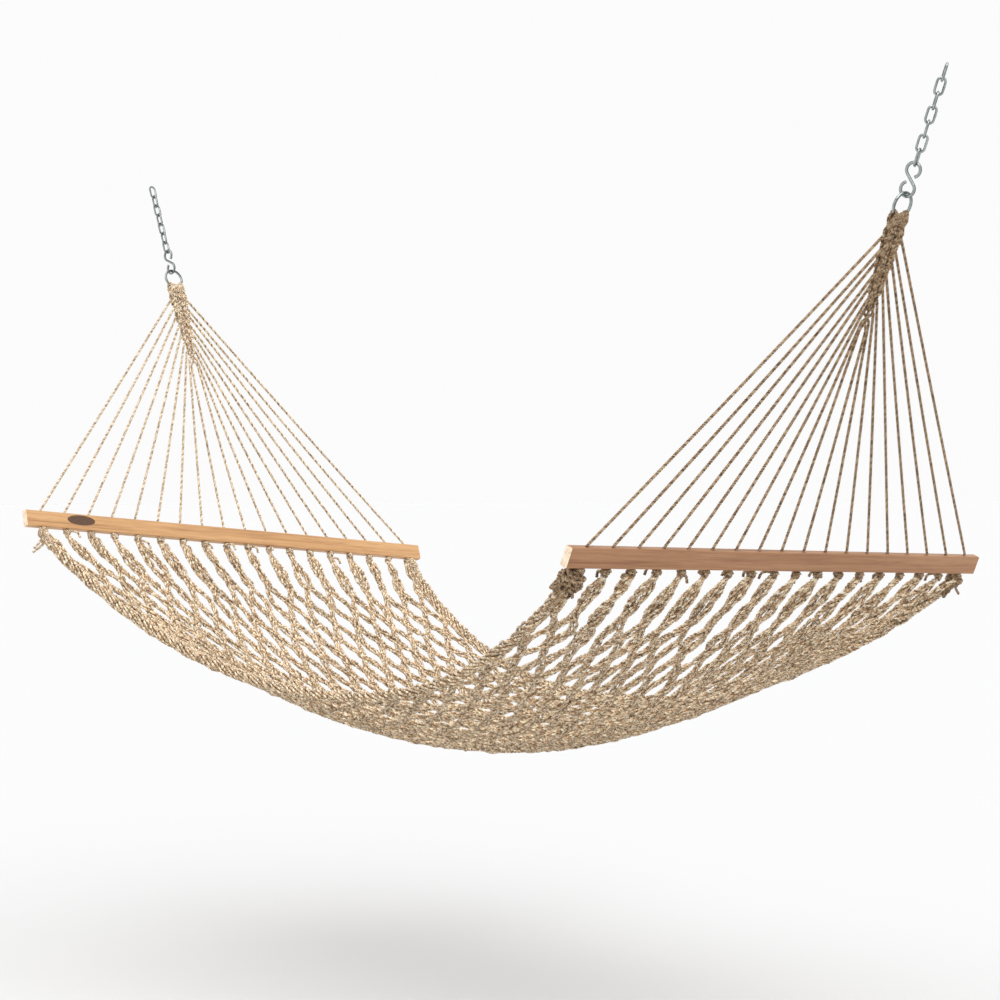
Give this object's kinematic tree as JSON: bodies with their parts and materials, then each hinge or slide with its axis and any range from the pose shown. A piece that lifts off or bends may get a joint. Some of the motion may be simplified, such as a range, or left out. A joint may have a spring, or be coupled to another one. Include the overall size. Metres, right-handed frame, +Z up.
{
  "type": "rope hammock with spreader bars",
  "caption": "Woven rope hammock with two oak spreader bars, fanned rope clews, steel rings, S hooks and hanging chains.",
  "frame": {"origin": "eye of the left end link, the point where the left end of the hammock is hung", "axes": "+X from the left hanging point to the right one, +Y across the bed, +Z up"},
  "size_m": [2.8955, 1.3978, 1.5664],
  "materials": {
    "oak": "satin",
    "tweed_rope": "matte",
    "galvanised_steel": "satin"
  },
  "bodies": {
    "hanging_points": {"left_chain_link_7": "galvanised_steel", "right_chain_link_7": "galvanised_steel"},
    "left_chain": {"left_chain_link_6": "galvanised_steel", "left_chain_link_4": "galvanised_steel", "left_chain_link_2": "galvanised_steel"},
    "right_chain": {"right_chain_link_6": "galvanised_steel", "right_chain_link_4": "galvanised_steel", "right_chain_link_2": "galvanised_steel"},
    "hammock": {"left_spreader_bar": "oak", "left_bar_knots": "tweed_rope", "left_clew_neck": "tweed_rope", "left_ring": "galvanised_steel", "right_spreader_bar": "oak", "right_bar_knots": "tweed_rope", "right_clew_neck": "tweed_rope", "right_ring": "galvanised_steel", "left_clew_rope_1": "tweed_rope", "left_clew_rope_2": "tweed_rope", "left_clew_rope_3": "tweed_rope", "left_clew_rope_4": "tweed_rope", "left_clew_rope_5": "tweed_rope", "left_clew_rope_6": "tweed_rope", "left_clew_rope_7": "tweed_rope", "left_clew_rope_8": "tweed_rope", "left_clew_rope_9": "tweed_rope", "right_clew_rope_1": "tweed_rope", "right_clew_rope_2": "tweed_rope", "right_clew_rope_3": "tweed_rope", "right_clew_rope_4": "tweed_rope", "right_clew_rope_5": "tweed_rope", "right_clew_rope_6": "tweed_rope", "right_clew_rope_7": "tweed_rope", "right_clew_rope_8": "tweed_rope", "right_clew_rope_9": "tweed_rope", "left_near_corner_knot": "tweed_rope", "left_far_corner_knot": "tweed_rope", "right_near_corner_knot": "tweed_rope", "right_far_corner_knot": "tweed_rope", "near_edge_rope": "tweed_rope", "far_edge_rope": "tweed_rope", "bed_net": "tweed_rope"},
    "left_link_5": {"left_chain_link_5": "galvanised_steel"},
    "left_link_3": {"left_chain_link_3": "galvanised_steel"},
    "left_link_1": {"left_chain_link_1": "galvanised_steel"},
    "left_hook": {"left_s_hook": "galvanised_steel"},
    "right_link_5": {"right_chain_link_5": "galvanised_steel"},
    "right_link_3": {"right_chain_link_3": "galvanised_steel"},
    "right_link_1": {"right_chain_link_1": "galvanised_steel"},
    "right_hook": {"right_s_hook": "galvanised_steel"}
  },
  "joints": [
    {"name": "left_swing", "type": "hinge", "parent": "hanging_points", "child": "left_chain", "pos_m": [0.01023, 0, -0.02558], "axis": [1, 0, 0], "range_deg": [-20, 20]},
    {"name": "right_swing", "type": "hinge", "parent": "hanging_points", "child": "right_chain", "pos_m": [2.87238, 0, -0.02558], "axis": [1, 0, 0], "range_deg": [-20, 20]},
    {"name": "bed_tip", "type": "hinge", "parent": "left_chain", "child": "hammock", "pos_m": [0.10234, 0, -0.25586], "axis": [1, 0, 0], "range_deg": [-15, 15]},
    {"name": "left_link_5_twist", "type": "hinge", "parent": "left_chain", "child": "left_link_5", "pos_m": [0.02715, 0, -0.06787], "axis": [-0.3714, 0, 0.9285], "range_deg": [-8, 8]},
    {"name": "left_link_3_twist", "type": "hinge", "parent": "left_chain", "child": "left_link_3", "pos_m": [0.0498, 0, -0.12451], "axis": [-0.3714, 0, 0.9285], "range_deg": [-8, 8]},
    {"name": "left_link_1_twist", "type": "hinge", "parent": "left_chain", "child": "left_link_1", "pos_m": [0.07245, 0, -0.18115], "axis": [-0.3714, 0, 0.9285], "range_deg": [-8, 8]},
    {"name": "left_hook_twist", "type": "hinge", "parent": "left_chain", "child": "left_hook", "pos_m": [0.09023, 0, -0.22558], "axis": [-0.3714, 0, 0.9285], "range_deg": [-8, 8]},
    {"name": "right_link_5_twist", "type": "hinge", "parent": "right_chain", "child": "right_link_5", "pos_m": [2.85547, 0, -0.06787], "axis": [0.3714, 0, 0.9285], "range_deg": [-8, 8]},
    {"name": "right_link_3_twist", "type": "hinge", "parent": "right_chain", "child": "right_link_3", "pos_m": [2.83281, 0, -0.12451], "axis": [0.3714, 0, 0.9285], "range_deg": [-8, 8]},
    {"name": "right_link_1_twist", "type": "hinge", "parent": "right_chain", "child": "right_link_1", "pos_m": [2.81016, 0, -0.18115], "axis": [0.3714, 0, 0.9285], "range_deg": [-8, 8]},
    {"name": "right_hook_twist", "type": "hinge", "parent": "right_chain", "child": "right_hook", "pos_m": [2.79239, 0, -0.22558], "axis": [0.3714, 0, 0.9285], "range_deg": [-8, 8]}
  ],
  "couplings": [
    {"joint": "right_swing", "follows": "left_swing", "ratio": 1}
  ]
}
